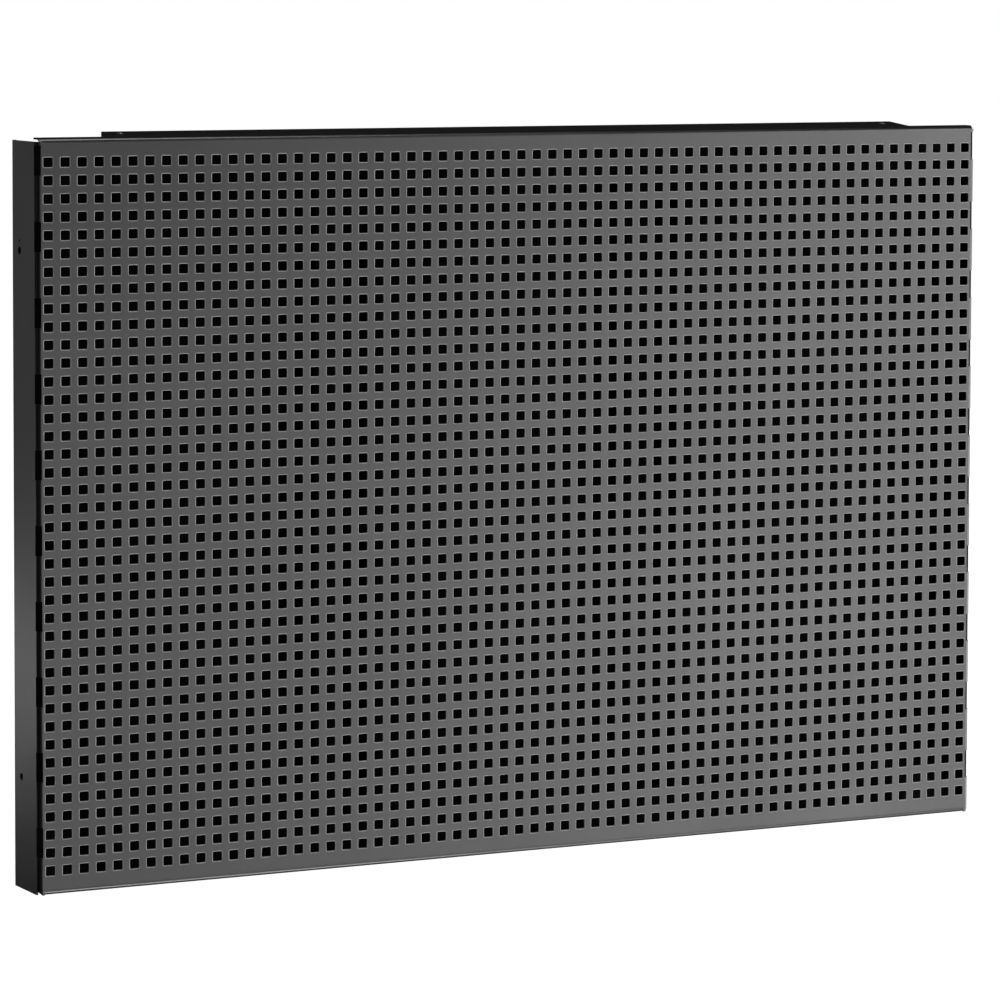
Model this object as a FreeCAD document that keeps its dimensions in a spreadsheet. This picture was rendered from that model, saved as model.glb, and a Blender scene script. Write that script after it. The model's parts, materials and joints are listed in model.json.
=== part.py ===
"""Perforated back-panel module of a gondola shelving system.

A folded box of sheet steel, one module high: a perforated front sheet between two slotted side
channels, a hanging rail that rises above the top edge, a bottom rail, corner gussets, two
stiffeners and a plain rear sheet, riveted together.

Frame: X to the right, Y to the rear, Z up, millimetres. The origin is the middle of the footprint,
level with the bottom edge, so the front face is at Y = -depth/2 and the rear at Y = +depth/2.
"""

import FreeCAD, Part
import math
import os
import re

Vector = FreeCAD.Vector
Rotation = FreeCAD.Rotation

ALONG_X = Rotation(Vector(0, 1, 0), 90)
ALONG_Y = Rotation(Vector(1, 0, 0), -90)
EIGHTH_TURN = Rotation(Vector(0, 1, 0), 45)

doc = FreeCAD.newDocument("PerforatedPanelModule")
sheet = doc.addObject("Spreadsheet::Sheet", "Sizes")

SIZES = {
    # the whole box
    "width": 725.0,
    "depth": 45.0,
    "height": 500.0,
    "gauge": 1.2,
    "bend": 3.3,
    # perforation
    "hole_pitch": 12.0,
    "hole_side": 6.4,
    "hole_columns": 60,
    "hole_rows": 40,
    "flange_depth": 10.0,
    "face_half": 358.0,
    "crown_half": 360.2,
    "crown_height": 2.4,
    # side channels
    "channel_height": 497.5,
    "rear_lip": 20.0,
    "lip_relief": 6.0,
    "slot_pitch": 50.0,
    "slot_first": 35.2,
    "slot_height": 19.8,
    "slot_reach": 3.5,
    "slot_count": 10,
    "corner_cut": 3.0,
    "joining_hole": 5.3,
    "joining_low": 75.0,
    "joining_span": 350.0,
    "joining_setback": 15.0,
    "pilot_hole": 2.0,
    "pilot_offset": 6.5,
    "nut_round": 9.0,
    "nut_length": 4.0,
    # rails between the channels
    "rail_half": 312.5,
    "rail_rear_half": 306.0,
    "rail_depth": 16.0,
    "rail_leg": 30.0,
    "rail_rise": 2.8,
    # gussets
    "gusset_gauge": 1.5,
    "gusset_reach": 76.0,
    "gusset_height": 22.0,
    "gusset_tab": 16.0,
    "saddle_inner": 286.0,
    "saddle_outer": 305.0,
    "gusset_rivet_inset": 4.0,
    "gusset_rivet_pitch": 11.0,
    # stiffeners
    "stiffener_at": 120.0,
    "stiffener_width": 30.0,
    "stiffener_flange": 15.0,
    # rear sheet
    "rear_gauge": 1.0,
    "rear_half": 357.0,
    "rear_flange_half": 280.0,
    "rear_flange": 12.0,
    # blind rivets
    "shank": 3.2,
    "head": 6.4,
    "head_height": 1.1,
    "tail": 4.8,
    "tail_height": 2.0,
    "top_shank": 2.4,
    "top_head": 5.0,
    "top_head_height": 0.7,
    "top_rivet_back": 9.4,
    "crown_rivet_pitch": 190.0,
}
for row, (alias, value) in enumerate(SIZES.items(), start=1):
    sheet.set(f"A{row}", alias)
    sheet.set(f"B{row}", str(value))
    sheet.setAlias(f"B{row}", alias)
doc.recompute()


def size(alias):
    """Value of one spreadsheet cell."""
    return float(sheet.get(alias))


def formula(text):
    """An expression in cell names, written out as references to the spreadsheet."""

    def reference(word):
        return f"Sizes.{word.group()}" if word.group() in SIZES else word.group()

    return re.sub(r"[a-z_]+", reference, text)


def bind(item, **properties):
    """Binds properties of an object to expressions in cell names."""
    for name, text in properties.items():
        item.setExpression(name.replace("__", "."), formula(text))


def place(item, x, y, z, rotation=None):
    """Binds an object's position, and turns it if a rotation is given."""
    if rotation:
        item.Placement = FreeCAD.Placement(Vector(), rotation)
    bind(item, Placement__Base__x=x, Placement__Base__y=y, Placement__Base__z=z)
    return item


def box(name, x, y, z):
    """A box from (low, high) expressions on each axis."""
    item = doc.addObject("Part::Box", name)
    bind(
        item,
        Length=f"({x[1]}) - ({x[0]})",
        Width=f"({y[1]}) - ({y[0]})",
        Height=f"({z[1]}) - ({z[0]})",
    )
    return place(item, x[0], y[0], z[0])


def rod(name, diameter, length, x, y, z, rotation):
    """A cylinder that starts at a point and runs along the rotated Z axis."""
    item = doc.addObject("Part::Cylinder", name)
    bind(item, Radius=f"({diameter}) / 2", Height=length)
    return place(item, x, y, z, rotation)


def fuse(name, items):
    item = doc.addObject("Part::MultiFuse", name)
    item.Shapes = items
    return item


def cut(name, base, tools):
    item = doc.addObject("Part::Cut", name)
    item.Base = base
    item.Tool = tools[0] if len(tools) == 1 else fuse(f"{name}_tools", tools)
    return item


def mirror(name, source, normal, base=Vector()):
    item = doc.addObject("Part::Mirroring", name)
    item.Source = source
    item.Normal = normal
    item.Base = base
    return item


def group(name, items):
    """Separate solids that share one node, such as a set of rivets."""
    item = doc.addObject("Part::Compound", name)
    item.Links = items
    return item


def upright_edges(item, x):
    """Numbers of a box's vertical edges that stand at the given X."""
    doc.recompute()
    found = []
    for number, edge in enumerate(item.Shape.Edges, start=1):
        limits = edge.BoundBox
        if limits.ZLength > 1 and limits.XLength < 1e-6 and abs(limits.XMin - x) < 1e-6:
            found.append(number)
    return found


def rounded(name, item, x, radius):
    """The same box with its vertical edges at X rounded, as a bend leaves them."""
    round_over = doc.addObject("Part::Fillet", name)
    round_over.Base = item
    round_over.Edges = [(number, radius, radius) for number in upright_edges(item, x)]
    return round_over


# ---------------------------------------------------------------------------------------------
# Side channels: web, rounded corner with the bracket slots, and rear lip
# ---------------------------------------------------------------------------------------------


def joining_heights():
    return ["joining_low", "joining_low + joining_span"]


def side_channel():
    outside = box(
        "channel_outside",
        ("-width / 2", "-width / 2 + rear_lip"),
        ("-depth / 2", "depth / 2"),
        ("0", "channel_height"),
    )
    inside = box(
        "channel_inside",
        ("-width / 2 + gauge", "-width / 2 + 2 * rear_lip"),
        ("-depth / 2 + gauge", "depth / 2 - gauge"),
        ("-gauge", "channel_height + gauge"),
    )
    gauge, bend, side = size("gauge"), size("bend"), -size("width") / 2
    outer_skin = rounded("channel_skin", outside, side, bend)
    hollow = rounded("channel_hollow", inside, side + gauge, bend - gauge)
    section = cut("channel_section", outer_skin, [hollow])
    front_trim = box(
        "channel_front_trim",
        ("-face_half", "-face_half + 2 * rear_lip"),
        ("-depth / 2 - gauge", "-depth / 2 + gauge"),
        ("-gauge", "channel_height + gauge"),
    )
    reliefs = [
        box(
            f"rear_lip_relief_{end}",
            ("-width / 2 + bend", "-width / 2 + 2 * rear_lip"),
            ("depth / 2 - 2 * gauge", "depth / 2 + gauge"),
            heights,
        )
        for end, heights in (
            ("low", ("-gauge", "lip_relief")),
            ("high", ("channel_height - lip_relief / 2", "channel_height + gauge")),
        )
    ]
    folded = cut("channel_folded", section, [front_trim] + reliefs)
    slots = [
        box(
            f"bracket_slot_{number + 1}",
            ("-width / 2 - gauge", "-width / 2 + slot_reach"),
            ("-depth / 2 - gauge", "-depth / 2 + slot_reach"),
            (
                f"slot_first + {number} * slot_pitch - slot_height / 2",
                f"slot_first + {number} * slot_pitch + slot_height / 2",
            ),
        )
        for number in range(int(size("slot_count")))
    ]
    corner = doc.addObject("Part::Box", "corner_cut_block")
    bind(corner, Length="corner_cut * sqrt(2)", Height="corner_cut * sqrt(2)", Width="bend + gauge")
    place(corner, "-width / 2 - corner_cut", "-depth / 2 - gauge", "0", EIGHTH_TURN)
    holes = [
        rod(
            f"joining_hole_{number}",
            "joining_hole",
            "4 * gauge",
            "-width / 2 - gauge",
            "depth / 2 - joining_setback",
            height,
            ALONG_X,
        )
        for number, height in enumerate(joining_heights(), start=1)
    ]
    pilot = rod(
        "pilot_hole_cutter",
        "pilot_hole",
        "4 * gauge",
        "-width / 2 - gauge",
        "depth / 2 - joining_setback",
        "joining_low + joining_span + pilot_offset",
        ALONG_X,
    )
    return cut("channel_punched", folded, slots + [corner, pilot] + holes)


# ---------------------------------------------------------------------------------------------
# Perforated front sheet with its folded top and bottom edges
# ---------------------------------------------------------------------------------------------


def outline(x_low, x_high, z_low, z_high, y):
    corners = [(x_low, z_low), (x_high, z_low), (x_high, z_high), (x_low, z_high), (x_low, z_low)]
    return Part.makePolygon([Vector(x, y, z) for x, z in corners])


def folded_edge(half_width, strip):
    """The bottom margin of the sheet: a plain strip, the bend and the flange that points rearward."""
    front = -size("depth") / 2
    gauge = size("gauge")
    flange = size("flange_depth")
    outside = Part.makeBox(2 * half_width, flange, strip, Vector(-half_width, front, 0))
    inside = Part.makeBox(4 * half_width, flange, strip, Vector(-2 * half_width, front + gauge, gauge))

    def bend_line(shape, y, z):
        on_line = Part.Vertex(Vector(0, y, z))
        return [edge for edge in shape.Edges if edge.distToShape(on_line)[0] < 1e-6]

    outside = outside.makeFillet(size("bend"), bend_line(outside, front, 0))
    inside = inside.makeFillet(size("bend") - gauge, bend_line(inside, front + gauge, gauge))
    return outside.cut(inside)


def perforated_row(z):
    """One strip of the sheet, a hole pitch high, with its row of square holes."""
    front = -size("depth") / 2
    pitch = size("hole_pitch")
    half_hole = size("hole_side") / 2
    half_width = size("face_half")
    columns = int(size("hole_columns"))
    wires = [outline(-half_width, half_width, z - pitch / 2, z + pitch / 2, front)]
    for column in range(columns):
        x = (column - (columns - 1) / 2) * pitch
        wires.append(outline(x - half_hole, x + half_hole, z - half_hole, z + half_hole, front))
    return Part.makeFace(wires, "Part::FaceMakerBullseye").extrude(Vector(0, size("gauge"), 0))


def perforated_sheet():
    """Built row by row, because a single face with every hole in it is slow to write and to read."""
    height = size("height")
    pitch = size("hole_pitch")
    rows = int(size("hole_rows"))
    first_row = height / 2 - (rows - 1) / 2 * pitch
    margin = first_row - pitch / 2
    bottom = folded_edge(size("face_half"), margin)
    top = bottom.mirror(Vector(0, 0, height / 2), Vector(0, 0, 1))
    crown_corner = Vector(-size("width") / 2, -size("depth") / 2, height - size("crown_height"))
    above_channels = Part.makeBox(size("width"), size("depth"), margin, crown_corner)
    crown = folded_edge(size("crown_half"), margin).mirror(Vector(0, 0, height / 2), Vector(0, 0, 1))
    pieces = [perforated_row(first_row + row * pitch) for row in range(rows)]
    pieces += [top, crown.common(above_channels)]
    item = doc.addObject("Part::Feature", "front_sheet")
    item.Shape = bottom.multiFuse(pieces).Solids[0]
    return item


# ---------------------------------------------------------------------------------------------
# Rails: an inverted channel with a rising top at the top edge, and a plain channel at the bottom
# ---------------------------------------------------------------------------------------------

RAIL_FRONT = "-depth / 2 + flange_depth"
RAIL_REAR = "-depth / 2 + flange_depth + rail_depth"
FOLD_DROP = "gauge * sqrt(1 + (rail_rise / rail_depth) ^ 2)"
SLOPE = "rail_rise / rail_depth"


def wedge(name, front, rear):
    """A solid between two rectangles: each is (y, half width in X or its range, low z, high z)."""
    item = doc.addObject("Part::Wedge", name)
    ends = []
    for y, x, z_low, z_high in (front, rear):
        x_range = x if isinstance(x, tuple) else (f"-({x})", x)
        ends.append((y, x_range, z_low, z_high))
    (y1, x1, low1, high1), (y2, x2, low2, high2) = ends
    bind(item, Ymin=y1, Xmin=x1[0], Xmax=x1[1], Zmin=low1, Zmax=high1)
    bind(item, Ymax=y2, X2min=x2[0], X2max=x2[1], Z2min=low2, Z2max=high2)
    return item


def slope_height(y_from_front, below="0"):
    """Height of the rising top, or of a surface below it, at a distance behind the rail's front."""
    return f"height + ({y_from_front}) * {SLOPE} - ({below})"


def top_rail():
    skin = wedge(
        "top_rail_skin",
        (RAIL_FRONT, "rail_half", "height - rail_leg", "height"),
        (RAIL_REAR, "rail_rear_half", "height - rail_leg", "height + rail_rise"),
    )
    open_end = "height - 2 * rail_leg"
    front_height = slope_height("gauge", FOLD_DROP)
    rear_height = slope_height("rail_depth - gauge", FOLD_DROP)
    hollow = wedge(
        "top_rail_hollow",
        (f"{RAIL_FRONT} + gauge", "rail_half + bend", open_end, front_height),
        (f"{RAIL_REAR} - gauge", "rail_half", open_end, rear_height),
    )
    return cut("top_rail_folded", skin, [hollow])


def bottom_rail():
    across = ("-rail_half", "rail_half")
    skin = box("bottom_rail_skin", across, (RAIL_FRONT, RAIL_REAR), ("0", "rail_leg"))
    hollow = box(
        "bottom_rail_hollow",
        ("-rail_half - gauge", "rail_half + gauge"),
        (f"{RAIL_FRONT} + gauge", f"{RAIL_REAR} - gauge"),
        ("gauge", "2 * rail_leg"),
    )
    return cut("bottom_rail_folded", skin, [hollow])


# ---------------------------------------------------------------------------------------------
# Gussets: plates that tie the rail ends to the channel webs
# ---------------------------------------------------------------------------------------------

GUSSET_FRONT = f"{RAIL_REAR} - gauge - gusset_gauge"
GUSSET_REAR = f"{RAIL_REAR} - gauge"


def gusset(name, low, high):
    plate = box(
        f"{name}_plate",
        ("-width / 2 + gauge", "-width / 2 + gauge + gusset_reach"),
        (GUSSET_FRONT, GUSSET_REAR),
        (low, high),
    )
    tab = box(
        f"{name}_tab",
        ("-width / 2 + gauge", "-width / 2 + gauge + gusset_gauge"),
        (GUSSET_FRONT, f"{GUSSET_FRONT} + gusset_tab"),
        (low, high),
    )
    return [plate, tab]


def top_gusset():
    """Its plate rises inside the rail and folds forward into a saddle under the rising top."""
    low = "height - lip_relief - gusset_height"
    high = "height - lip_relief"
    front_gap = "2 * gauge"
    rear_gap = "rail_depth - gauge"
    riser = box(
        "gusset_riser",
        ("-saddle_outer", "-saddle_inner"),
        (GUSSET_FRONT, GUSSET_REAR),
        (high, slope_height(f"{rear_gap} - gusset_gauge", f"{FOLD_DROP} + gusset_gauge / 2")),
    )
    saddle = wedge(
        "gusset_saddle",
        (
            f"{RAIL_FRONT} + {front_gap}",
            ("-saddle_outer", "-saddle_inner"),
            slope_height(front_gap, f"{FOLD_DROP} + gusset_gauge"),
            slope_height(front_gap, FOLD_DROP),
        ),
        (
            f"{RAIL_FRONT} + {rear_gap}",
            ("-saddle_outer", "-saddle_inner"),
            slope_height(rear_gap, f"{FOLD_DROP} + gusset_gauge"),
            slope_height(rear_gap, FOLD_DROP),
        ),
    )
    return fuse("top_gusset_folded", gusset("top_gusset", low, high) + [riser, saddle])


def bottom_gusset():
    low = "lip_relief"
    high = "lip_relief + gusset_height"
    return fuse("bottom_gusset_folded", gusset("bottom_gusset", low, high))


# ---------------------------------------------------------------------------------------------
# Stiffener: a hat section between the rails' rear legs and the rear sheet
# ---------------------------------------------------------------------------------------------


def stiffener():
    heights = ("2 * lip_relief", "height - 2 * lip_relief")
    rear = "depth / 2 - gauge - rear_gauge"
    crown = ("-stiffener_at - stiffener_width / 2", "-stiffener_at + stiffener_width / 2")
    outside = box("stiffener_outside", crown, (RAIL_REAR, rear), heights)
    inside = box(
        "stiffener_inside",
        (f"{crown[0]} + gauge", f"{crown[1]} - gauge"),
        (f"{RAIL_REAR} - gauge", f"{rear} - gauge"),
        ("0", "height"),
    )
    flange_limits = {
        "outer": (f"{crown[0]} - stiffener_flange", crown[0]),
        "inner": (crown[1], f"{crown[1]} + stiffener_flange"),
    }
    flanges = [
        box(f"stiffener_flange_{side}", limits, (RAIL_REAR, f"{RAIL_REAR} + gauge"), heights)
        for side, limits in flange_limits.items()
    ]
    return fuse("stiffener_folded", [cut("stiffener_hat", outside, [inside])] + flanges)


# ---------------------------------------------------------------------------------------------
# Rear sheet with closing flanges at its top and bottom
# ---------------------------------------------------------------------------------------------


def rear_sheet():
    low, high = "2 * gauge", "height - lip_relief"
    rear_face = "depth / 2 - gauge"
    front_face = f"{rear_face} - rear_gauge"
    plate = box("rear_plate", ("-rear_half", "rear_half"), (front_face, rear_face), (low, high))
    flange_limits = {
        "bottom": (low, f"{low} + rear_gauge"),
        "top": (f"{high} - rear_gauge", high),
    }
    flanges = [
        box(
            f"rear_closing_flange_{end}",
            ("-rear_flange_half", "rear_flange_half"),
            (f"{front_face} - rear_flange", front_face),
            limits,
        )
        for end, limits in flange_limits.items()
    ]
    return fuse("rear_sheet_folded", [plate] + flanges)


# ---------------------------------------------------------------------------------------------
# Blind rivets and joining nuts, made for the left half and mirrored
# ---------------------------------------------------------------------------------------------


def rivet(name, x, z, near, far):
    """A rivet along Y through plates from near to far, with its head on the rear side."""
    head = doc.addObject("Part::Cone", f"{name}_head")
    bind(head, Radius1="head / 2", Radius2="head / 4", Height="head_height")
    place(head, x, far, z, ALONG_Y)
    shank = rod(f"{name}_shank", "shank", f"({far}) - ({near})", x, near, z, ALONG_Y)
    tail = rod(f"{name}_tail", "tail", "tail_height", x, f"({near}) - tail_height", z, ALONG_Y)
    return fuse(name, [head, shank, tail])


def rear_sheet_rivets():
    return [
        rivet(
            f"rear_rivet_{number}",
            "-stiffener_at",
            f"height / 2 + {number - 2} * crown_rivet_pitch",
            "depth / 2 - 2 * gauge - rear_gauge",
            "depth / 2 - gauge",
        )
        for number in (1, 2, 3)
    ]


def stiffener_rivets():
    reach = "(stiffener_width + stiffener_flange) / 2"
    return [
        rivet(
            f"flange_rivet_{end}_{flange}",
            f"-stiffener_at {sign} {reach}",
            z,
            f"{RAIL_REAR} - gauge",
            f"{RAIL_REAR} + gauge",
        )
        for end, z in (("low", "rail_leg * 2 / 3"), ("high", "height - rail_leg * 2 / 3"))
        for flange, sign in (("inner", "+"), ("outer", "-"))
    ]


def gusset_rivets():
    middle = "lip_relief + gusset_height / 2"
    inner = "-saddle_inner - gusset_rivet_inset"
    outer = f"{inner} - gusset_rivet_pitch"
    return [
        rivet(f"gusset_rivet_{end}_{side}", x, z, GUSSET_FRONT, RAIL_REAR)
        for end, z in (("low", middle), ("high", f"height - ({middle})"))
        for side, x in (("inner", inner), ("outer", outer))
    ]


def rail_top_rivet():
    """A rivet square to the rising top, through the rail and the gusset saddle below it."""
    tilt = math.degrees(math.atan2(size("rail_rise"), size("rail_depth")))
    square_to_top = Rotation(Vector(1, 0, 0), tilt)
    x = "-(saddle_inner + saddle_outer) / 2"
    grip = "(gauge + gusset_gauge)"

    def on_axis(distance):
        """A point on the rivet's axis, at a distance above the rail's top surface."""
        turned = f"({distance}) / sqrt(1 + ({SLOPE}) ^ 2)"
        y = f"{RAIL_FRONT} + top_rivet_back - {turned} * {SLOPE}"
        return x, y, f"{slope_height('top_rivet_back')} + {turned}"

    head = doc.addObject("Part::Cone", "rail_top_rivet_head")
    bind(head, Radius1="top_head / 2", Radius2="top_head / 4", Height="top_head_height")
    place(head, *on_axis("0"), square_to_top)
    shank = rod("rail_top_rivet_shank", "top_shank", grip, *on_axis(f"-{grip}"), square_to_top)
    tail_start = on_axis(f"-{grip} - tail_height")
    tail = rod("rail_top_rivet_tail", "tail", "tail_height", *tail_start, square_to_top)
    return fuse("rail_top_rivet", [head, shank, tail])


def joining_nuts():
    nuts = []
    for number, height in enumerate(joining_heights(), start=1):
        start = ("-width / 2 + gauge", "depth / 2 - joining_setback", height)
        body = rod(f"nut_body_{number}", "nut_round", "nut_length", *start, ALONG_X)
        bore = rod(f"nut_bore_{number}", "joining_hole", "nut_length", *start, ALONG_X)
        nuts.append(cut(f"nut_{number}", body, [bore]))
    return nuts


# ---------------------------------------------------------------------------------------------
# Assembly
# ---------------------------------------------------------------------------------------------

ACROSS = Vector(1, 0, 0)


def both_sides(name, items):
    """A left-hand group and its mirror image."""
    left = group(f"left_{name}", items)
    return left, mirror(f"right_{name}", left, ACROSS)


crown_rivets = both_sides("crown_rivets", rear_sheet_rivets())
hat_rivets = both_sides("hat_rivets", stiffener_rivets())
plate_rivets = both_sides("plate_rivets", gusset_rivets())
top_rivets = both_sides("top_rivets", [rail_top_rivet()])
nuts = both_sides("nuts", joining_nuts())

left_channel = side_channel()
left_top_gusset = cut("left_top_gusset", top_gusset(), [plate_rivets[0], top_rivets[0]])
left_bottom_gusset = cut("left_bottom_gusset", bottom_gusset(), [plate_rivets[0]])
left_hat = cut("left_hat", stiffener(), [hat_rivets[0], crown_rivets[0]])

nodes = {
    "perforated_panel": perforated_sheet(),
    "left_side_channel": left_channel,
    "right_side_channel": mirror("right_channel", left_channel, ACROSS),
    "top_rail": cut("top_rail_punched", top_rail(), [*plate_rivets, *hat_rivets, *top_rivets]),
    "bottom_rail": cut("bottom_rail_punched", bottom_rail(), [*plate_rivets, *hat_rivets]),
    "top_left_gusset": left_top_gusset,
    "top_right_gusset": mirror("right_top_gusset", left_top_gusset, ACROSS),
    "bottom_left_gusset": left_bottom_gusset,
    "bottom_right_gusset": mirror("right_bottom_gusset", left_bottom_gusset, ACROSS),
    "left_stiffener": left_hat,
    "right_stiffener": mirror("right_hat", left_hat, ACROSS),
    "rear_panel": cut("rear_sheet_punched", rear_sheet(), [*crown_rivets]),
    "rear_panel_rivets": group("all_crown_rivets", crown_rivets),
    "stiffener_rivets": group("all_hat_rivets", hat_rivets),
    "gusset_rivets": group("all_plate_rivets", plate_rivets),
    "rail_top_rivets": group("all_top_rivets", top_rivets),
    "joining_nuts": group("all_nuts", nuts),
}
for label, item in nodes.items():
    item.Label = label

doc.recompute()

faults = [item.Label for item in doc.Objects if {"Invalid", "Error"} & set(item.State)]
faults += [label for label, item in nodes.items() if item.Shape.isNull() or not item.Shape.isValid()]
if faults:
    raise SystemExit(f"These objects failed: {faults}")

os.makedirs("parts", exist_ok=True)
for label, item in nodes.items():
    item.Shape.exportStep(f"parts/{label}.step")
    print(f"{label}: {len(item.Shape.Solids)} solid(s), {item.Shape.Volume / 1000:.2f} cm3")
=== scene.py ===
"""Looks of the perforated back-panel module: powder-coated sheet steel and two bright rivets.

Metres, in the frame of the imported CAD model: X to the right, Y to the rear, Z up.
"""

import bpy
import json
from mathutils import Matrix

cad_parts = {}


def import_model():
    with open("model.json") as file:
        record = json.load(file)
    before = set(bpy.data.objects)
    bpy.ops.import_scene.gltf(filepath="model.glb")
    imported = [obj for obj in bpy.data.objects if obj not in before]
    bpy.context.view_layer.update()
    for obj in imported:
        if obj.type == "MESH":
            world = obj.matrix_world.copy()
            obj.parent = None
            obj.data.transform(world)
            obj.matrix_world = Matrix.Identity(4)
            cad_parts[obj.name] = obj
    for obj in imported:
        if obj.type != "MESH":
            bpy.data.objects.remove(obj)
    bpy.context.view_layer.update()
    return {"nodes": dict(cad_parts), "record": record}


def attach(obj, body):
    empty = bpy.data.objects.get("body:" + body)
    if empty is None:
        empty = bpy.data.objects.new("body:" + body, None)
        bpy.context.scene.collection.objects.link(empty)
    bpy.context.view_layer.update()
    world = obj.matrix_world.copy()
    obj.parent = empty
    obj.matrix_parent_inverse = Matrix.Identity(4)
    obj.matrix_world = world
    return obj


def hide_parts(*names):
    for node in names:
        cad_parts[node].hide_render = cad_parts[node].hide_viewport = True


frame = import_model()

import json
import math

import bpy
from mathutils import Matrix, Vector

MM = 0.001

# The perforated sheet, as the CAD model has it
HALF_WIDTH = 362.5 * MM
FACE_HALF = 358 * MM
CROWN_HALF = 360.2 * MM
HEIGHT = 500 * MM
CROWN_HEIGHT = 2.4 * MM
FRONT = -22.5 * MM
GAUGE = 1.2 * MM
BEND = 3.3 * MM
FLANGE_DEPTH = 10 * MM
PITCH = 12 * MM
COLUMNS = 60
ROWS = 40
HOLE_HALF = 3.2 * MM
HOLE_CORNER = 0.7 * MM
ROLL_OVER = 0.55 * MM  # the punch draws the front edge of each hole in by this much
ROLL_OVER_ANGLES = (35, 65, 90)  # degrees from the front face
CORNER_STEPS = 3
BEND_STEPS = 10

# Height of the bands at the top and bottom that carry the outer coat on their outer side
TOP_BAND = 7 * MM
BOTTOM_BAND = 3 * MM


# ---------------------------------------------------------------------------------------------
# Meshes
# ---------------------------------------------------------------------------------------------


class Builder:
    """Collects faces with a normal at each corner, and shares points that coincide."""

    def __init__(self):
        self.index = {}
        self.points = []
        self.faces = []
        self.normals = []
        self.rim = []  # for each face, whether it belongs to the drawn-in edge of a hole

    def point(self, p):
        key = (round(p[0] * 1e7), round(p[1] * 1e7), round(p[2] * 1e7))
        if key not in self.index:
            self.index[key] = len(self.points)
            self.points.append(p)
        return self.index[key]

    def face(self, corners, rim=False):
        """corners is a list of (point, normal), anticlockwise seen from outside."""
        numbers = [self.point(p) for p, _ in corners]
        if len(set(numbers)) < len(numbers):
            return
        self.faces.append(numbers)
        self.normals.extend(n for _, n in corners)
        self.rim.append(rim)

    def build(self, name):
        mesh = bpy.data.meshes.new(name)
        mesh.from_pydata(self.points, [], self.faces)
        mesh.update()
        mesh.shade_smooth()
        mesh.normals_split_custom_set(self.normals)
        item = bpy.data.objects.new(name, mesh)
        bpy.context.collection.objects.link(item)
        return item


def hole_ring(grow):
    """Outline of a hole, anticlockwise from the front: (x, z, outward x, outward z) round four arcs."""
    ring = []
    centre = HOLE_HALF - HOLE_CORNER
    radius = HOLE_CORNER + grow
    for quarter, (sx, sz) in enumerate(((1, -1), (1, 1), (-1, 1), (-1, -1))):
        start = -math.pi / 2 + quarter * math.pi / 2
        for step in range(CORNER_STEPS + 1):
            angle = start + step / CORNER_STEPS * math.pi / 2
            nx, nz = math.cos(angle), math.sin(angle)
            ring.append((sx * centre + radius * nx, sz * centre + radius * nz, nx, nz))
    return ring


def cell(build, low_x, high_x, hole_x, hole_z):
    """One pitch of the sheet round one hole: front face, rolled edge, hole wall and rear face."""
    low_z, high_z = hole_z - PITCH / 2, hole_z + PITCH / 2
    front, rear = FRONT, FRONT + GAUGE
    to_front, to_rear = (0, -1, 0), (0, 1, 0)
    # (growth of the outline, depth below the front face, share of the normal that faces front)
    levels = [(ROLL_OVER, 0, 1)]
    for degrees in ROLL_OVER_ANGLES:
        across, facing = math.sin(math.radians(degrees)), math.cos(math.radians(degrees))
        levels.append((ROLL_OVER * (1 - across), ROLL_OVER * (1 - facing), facing))
    levels.append((0, GAUGE, 0))
    rings = []
    for grow, depth, facing in levels:
        inward = math.sqrt(1 - facing ** 2)
        rings.append([
            ((hole_x + x, front + depth, hole_z + z), (-nx * inward, -facing, -nz * inward))
            for x, z, nx, nz in hole_ring(grow)
        ])
    count = len(rings[0])
    per_corner = count // 4
    outer = [(high_x, low_z), (high_x, high_z), (low_x, high_z), (low_x, low_z)]
    for ring, y, normal, flip in ((rings[0], front, to_front, False), (rings[-1], rear, to_rear, True)):
        for corner in range(4):
            first = corner * per_corner
            at = (outer[corner][0], y, outer[corner][1])
            following = outer[(corner + 1) % 4]
            after = (following[0], y, following[1])
            faces = [[at, ring[first + k + 1][0], ring[first + k][0]] for k in range(per_corner - 1)]
            last, then = ring[first + per_corner - 1][0], ring[(first + per_corner) % count][0]
            faces.append([at, after, then, last])
            for points in faces:
                if flip:
                    points = points[::-1]
                build.face([(p, normal) for p in points])
    for level, (upper, lower) in enumerate(zip(rings, rings[1:])):
        for k in range(count):
            j = (k + 1) % count
            build.face([upper[k], upper[j], lower[j], lower[k]], rim=level < len(rings) - 2)


def folded_profile():
    """Section of the folded top edge: (y, z, normal y, normal z), outside from the face to the
    flange's end and back along the inside."""
    z0 = HEIGHT / 2 + ROWS * PITCH / 2
    flange_end = FRONT + FLANGE_DEPTH
    outside, inside = [(FRONT, z0, -1, 0)], [(FRONT + GAUGE, z0, 1, 0)]
    for step in range(BEND_STEPS + 1):
        angle = step / BEND_STEPS * math.pi / 2
        ny, nz = -math.cos(angle), math.sin(angle)
        y, z = FRONT + BEND, HEIGHT - BEND
        outside.append((y + BEND * ny, z + BEND * nz, ny, nz))
        inside.append((y + (BEND - GAUGE) * ny, z + (BEND - GAUGE) * nz, -ny, -nz))
    outside.append((flange_end, HEIGHT, 0, 1))
    inside.append((flange_end, HEIGHT - GAUGE, 0, -1))
    return outside, inside


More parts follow.
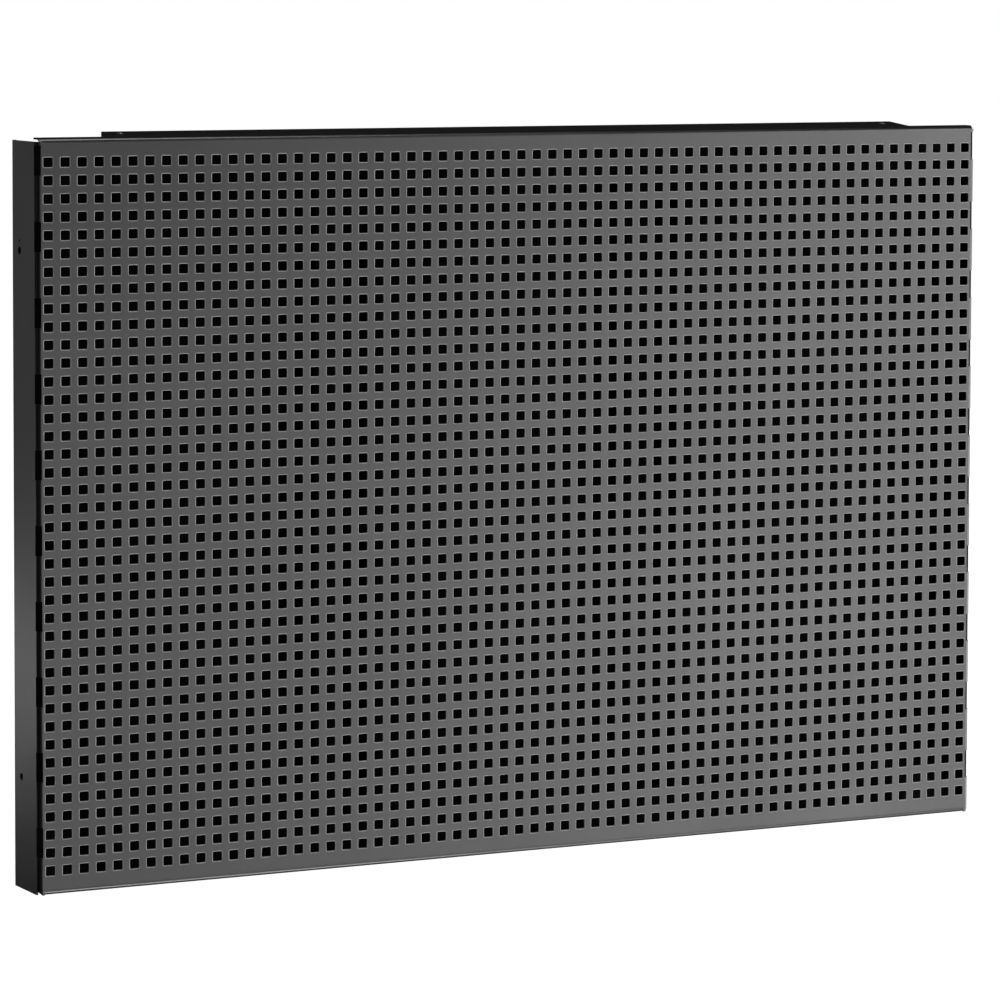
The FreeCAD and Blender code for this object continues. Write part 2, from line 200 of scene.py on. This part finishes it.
def sweep(build, outside, inside, columns, upper):
    """Sweeps the section across the sheet. The bottom edge is the top edge turned over."""

    def put(entry, x):
        y, z, ny, nz = entry
        if not upper:
            z, nz = HEIGHT - z, -nz
        return (x, y, z), (0, ny, nz)

    def quad(a, b, x1, x2, towards_front):
        corners = [put(a, x1), put(a, x2), put(b, x2), put(b, x1)]
        build.face(corners if towards_front == upper else corners[::-1])

    for x1, x2 in zip(columns, columns[1:]):
        for a, b in zip(outside, outside[1:]):
            quad(a, b, x1, x2, True)
        for a, b in zip(inside, inside[1:]):
            quad(a, b, x1, x2, False)
        end_out = outside[-1][:2] + (1, 0)
        end_in = inside[-1][:2] + (1, 0)
        quad(end_out, end_in, x1, x2, True)
    for x, side in ((columns[0], -1), (columns[-1], 1)):
        for a, b, c, d in zip(outside, outside[1:], inside[1:], inside):
            corners = [(put(entry, x)[0], (side, 0, 0)) for entry in (a, b, c, d)]
            build.face(corners[::-1] if (side > 0) == upper else corners)


def clipped(line, low):
    """The part of a section's line that lies above a height."""
    kept = []
    for a, b in zip(line, line[1:]):
        if b[1] <= low:
            continue
        if a[1] < low:
            share = (low - a[1]) / (b[1] - a[1])
            kept.append(tuple(p + share * (q - p) for p, q in zip(a, b)))
        elif not kept:
            kept.append(a)
        kept.append(b)
    return kept


def perforated_panel():
    """The sheet, the ends of its top flange that lie on the channels, and the sheet's rim faces."""
    build = Builder()
    bounds_x = [(k - COLUMNS / 2) * PITCH for k in range(COLUMNS + 1)]
    bounds_x[0], bounds_x[-1] = -FACE_HALF, FACE_HALF
    for row in range(ROWS):
        hole_z = HEIGHT / 2 + (row - (ROWS - 1) / 2) * PITCH
        for column in range(COLUMNS):
            hole_x = (column - (COLUMNS - 1) / 2) * PITCH
            cell(build, bounds_x[column], bounds_x[column + 1], hole_x, hole_z)
        for x, side in ((-FACE_HALF, -1), (FACE_HALF, 1)):
            z1, z2 = hole_z - PITCH / 2, hole_z + PITCH / 2
            corners = [(x, FRONT, z1), (x, FRONT + GAUGE, z1), (x, FRONT + GAUGE, z2), (x, FRONT, z2)]
            build.face([(p, (side, 0, 0)) for p in (corners if side > 0 else corners[::-1])])
    outside, inside = folded_profile()
    for upper in (True, False):
        sweep(build, outside, inside, bounds_x, upper)
    crown_out = clipped(outside, HEIGHT - CROWN_HEIGHT)
    crown_in = clipped(inside, HEIGHT - CROWN_HEIGHT)
    if len(crown_out) > len(crown_in):
        crown_in = [crown_in[0]] * (len(crown_out) - len(crown_in)) + crown_in
    ends = Builder()
    for columns in ((-CROWN_HALF, -FACE_HALF), (FACE_HALF, CROWN_HALF)):
        sweep(ends, crown_out, crown_in, columns, True)
    panel = build.build("perforated_panel_look")
    crown = ends.build("top_flange_ends_look")
    return panel, crown, build.rim


# ---------------------------------------------------------------------------------------------
# Materials
# ---------------------------------------------------------------------------------------------


def new_material(name):
    material = bpy.data.materials.new(name)
    material.use_nodes = True
    tree = material.node_tree
    return material, tree, tree.nodes["Principled BSDF"]


def noise(tree, scale, detail):
    coordinates = tree.nodes.new("ShaderNodeTexCoord")
    texture = tree.nodes.new("ShaderNodeTexNoise")
    texture.inputs["Scale"].default_value = scale
    texture.inputs["Detail"].default_value = detail
    tree.links.new(coordinates.outputs["Object"], texture.inputs["Vector"])
    return texture.outputs["Fac"]


def remap(tree, value, low, high, to_low, to_high):
    node = tree.nodes.new("ShaderNodeMapRange")
    for name, number in (("From Min", low), ("From Max", high), ("To Min", to_low), ("To Max", to_high)):
        node.inputs[name].default_value = number
    tree.links.new(value, node.inputs["Value"])
    return node.outputs["Result"]


def inside_painted_shade():
    """Painted shade: a darker, duller coat on the faces that look into the box, in place of the shade
    inside it.
    """
    material, tree, shader = new_material("inside_painted_shade")
    shader.inputs["Base Color"].default_value = (0.004, 0.004, 0.004, 1)
    shader.inputs["Specular IOR Level"].default_value = 0.04
    dust = noise(tree, 40.0, 4.0)
    tree.links.new(remap(tree, dust, 0.3, 0.7, 0.85, 1.0), shader.inputs["Roughness"])
    return material


def powder_coat():
    """Near-black coat with a soft gloss and a fine orange peel."""
    material, tree, shader = new_material("powder_coat_black")
    shader.inputs["Base Color"].default_value = (0.005, 0.005, 0.0055, 1)
    shader.inputs["IOR"].default_value = 1.5
    coarse = noise(tree, 9.0, 2.0)
    tree.links.new(remap(tree, coarse, 0.3, 0.7, 0.29, 0.35), shader.inputs["Roughness"])
    peel = noise(tree, 1400.0, 2.0)
    bump = tree.nodes.new("ShaderNodeBump")
    bump.inputs["Strength"].default_value = 0.12
    bump.inputs["Distance"].default_value = 0.0002
    tree.links.new(peel, bump.inputs["Height"])
    tree.links.new(bump.outputs["Normal"], shader.inputs["Normal"])
    return material


def rim_painted_highlight():
    """Painted highlight: a patchy grey coat, lighter than the black face, on the drawn-in edges of the
    holes, in place of the light these edges catch.
    """
    material, tree, shader = new_material("rim_painted_highlight")
    highlight_patches = noise(tree, 300.0, 3.0)
    ramp = tree.nodes.new("ShaderNodeValToRGB")
    ramp.color_ramp.elements[0].color = (0.13, 0.13, 0.135, 1)
    ramp.color_ramp.elements[1].color = (0.24, 0.24, 0.245, 1)
    tree.links.new(highlight_patches, ramp.inputs["Fac"])
    tree.links.new(ramp.outputs["Color"], shader.inputs["Base Color"])
    shader.inputs["Roughness"].default_value = 0.45
    return material


def rivet_metal():
    material, tree, shader = new_material("rivet_aluminium")
    shader.inputs["Base Color"].default_value = (0.78, 0.78, 0.80, 1)
    shader.inputs["Metallic"].default_value = 1.0
    scuff = noise(tree, 900.0, 4.0)
    tree.links.new(remap(tree, scuff, 0.3, 0.7, 0.22, 0.38), shader.inputs["Roughness"])
    return material


MATERIALS = {
    "powder_coat": powder_coat(),
    "inside_painted_shade": inside_painted_shade(),
    "rim_painted_highlight": rim_painted_highlight(),
    "rivet_aluminium": rivet_metal(),
}
INSIDE_SHADE = 1  # index of the painted shade, the darker and duller coat inside the box, on the pieces that have both
RIM_HIGHLIGHT = 2  # index of the painted highlight on the hole edges, on the perforated sheet


def finish_piece(item, slot):
    item.data.materials.clear()
    item.data.materials.append(MATERIALS[slot])


def paint_inside_shade(item):
    """Gives the painted shade, a darker and duller coat, to the faces of a coated piece that look into
    the box.
    """
    item.data.materials.append(MATERIALS["inside_painted_shade"])
    slack = 0.01 * MM
    inner_x, inner_front, inner_rear = HALF_WIDTH - GAUGE, FRONT + GAUGE, -FRONT - GAUGE
    for face in item.data.polygons:
        x, y, z = face.center
        outer_skin = abs(x) > inner_x + slack or y < inner_front - slack or y > inner_rear + slack
        top = face.normal.z > 0.5 and z > HEIGHT - TOP_BAND
        bottom = face.normal.z < -0.5 and z < BOTTOM_BAND
        rear = face.normal.y > 0.5 and y > inner_rear - slack
        slot_end = face.normal.y < -0.9 and abs(x) > inner_x and abs(y) < -FRONT - BEND
        if slot_end or not (outer_skin or top or bottom or rear):
            face.material_index = INSIDE_SHADE


# ---------------------------------------------------------------------------------------------
# Pieces
# ---------------------------------------------------------------------------------------------

panel, crown, rims = perforated_panel()
# Faces that look into the box get the painted shade.
for item in (panel, crown):
    finish_piece(item, "powder_coat")
    paint_inside_shade(item)
    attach(item, "root")
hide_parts("perforated_panel")
# The drawn-in edges of the holes get the painted highlight.
panel.data.materials.append(MATERIALS["rim_painted_highlight"])
for face, is_rim in zip(panel.data.polygons, rims):
    if is_rim:
        face.material_index = RIM_HIGHLIGHT

slots = {entry["node"]: entry["material_slot"] for entry in frame["record"]["subparts"]}
for node, item in frame["nodes"].items():
    if node != "perforated_panel":
        finish_piece(item, slots[node])
        # Coated CAD pieces get the painted shade inside the box too.
        if slots[node] == "powder_coat":
            paint_inside_shade(item)


# ---------------------------------------------------------------------------------------------
# Floor, lights and camera
# ---------------------------------------------------------------------------------------------


def floor():
    """White to the camera, and neither lit nor reflected by the object."""
    bpy.ops.mesh.primitive_plane_add(size=30, location=(0, 0, -0.0005))
    item = bpy.context.object
    item.name = "floor"
    material, _, shader = new_material("floor_white")
    shader.inputs["Base Color"].default_value = (0.3, 0.3, 0.3, 1)
    shader.inputs["Roughness"].default_value = 0.9
    shader.inputs["Emission Color"].default_value = (1, 1, 1, 1)
    shader.inputs["Emission Strength"].default_value = 1.0
    item.data.materials.append(material)
    item.visible_glossy = False
    item.visible_diffuse = False
    item.visible_shadow = False


def softbox(name, azimuth, distance, height, size, watts):
    """A soft light that faces the object. Azimuth 0 is in front of the sheet, 90 to its right."""
    light = bpy.data.lights.new(name, "AREA")
    light.shape = "RECTANGLE"
    light.size, light.size_y = size
    light.energy = watts
    item = bpy.data.objects.new(name, light)
    turn = math.radians(azimuth)
    item.location = (distance * math.sin(turn), -distance * math.cos(turn), height)
    to_object = Vector((0, 0, HEIGHT / 2)) - item.location
    item.rotation_euler = to_object.to_track_quat("-Z", "Y").to_euler()
    item.visible_camera = False
    bpy.context.collection.objects.link(item)


def world(seen, felt):
    """Plain white where the camera sees it, and a dim surround for everything else."""
    made = bpy.data.worlds.new("studio")
    bpy.context.scene.world = made
    made.use_nodes = True
    tree = made.node_tree
    background = tree.nodes["Background"]
    path = tree.nodes.new("ShaderNodeLightPath")
    level = tree.nodes.new("ShaderNodeMapRange")
    level.inputs["To Min"].default_value = felt
    level.inputs["To Max"].default_value = seen
    tree.links.new(path.outputs["Is Camera Ray"], level.inputs["Value"])
    tree.links.new(level.outputs["Result"], background.inputs["Strength"])
    background.inputs["Color"].default_value = (1, 1, 1, 1)


def camera():
    data = bpy.data.cameras.new("camera")
    data.sensor_width = 36
    data.lens = 169.9
    data.shift_y = -0.2
    data.clip_end = 100
    item = bpy.data.objects.new("camera", data)
    bpy.context.collection.objects.link(item)
    yaw, pitch, roll = math.radians(27.03), math.radians(-3.90), math.radians(0.17)
    item.location = (-1.4915, -2.9025, 0.6049)
    turn = Matrix.Rotation(-yaw, 4, "Z") @ Matrix.Rotation(math.pi / 2 + pitch, 4, "X")
    item.rotation_euler = (turn @ Matrix.Rotation(roll, 4, "Z")).to_euler()
    bpy.context.scene.camera = item


floor()
world(seen=1.0, felt=0.02)
# name, azimuth, distance, height of the middle, (width, height), watts
softbox("front_fill", 14, 3.0, -0.3, (0.9, 1.2), 11)
softbox("front_key", 33, 3.0, -0.3, (0.5, 1.2), 17)
softbox("right_key_low", 60, 3.0, -0.3, (1.2, 1.2), 50)
softbox("right_key_high", 46, 3.0, 1.05, (1.2, 1.5), 44)
softbox("right_side", 93, 3.0, 0.5, (2.2, 2.8), 60)
softbox("overhead", 24, 1.3, 2.95, (0.5, 0.5), 30)
softbox("floor_bounce", 45, 1.9, -2.0, (1.6, 1.6), 34)
softbox("floor_front", 28, 1.5, -2.45, (0.8, 0.8), 30)
softbox("left_high", -85, 3.0, 0.9, (0.15, 1.2), 2.5)
softbox("left_rear_low", -154, 2.0, -0.14, (0.2, 0.16), 0.36)
softbox("left_rear_wide", -135, 2.0, -0.03, (0.35, 0.26), 0.9)
softbox("left_rear_high", -148, 2.0, 0.6, (0.5, 0.95), 0.5)
softbox("rear_low_right", 135, 3.0, -0.45, (2.4, 1.5), 60)
camera()
bpy.context.scene.view_settings.view_transform = "Standard"
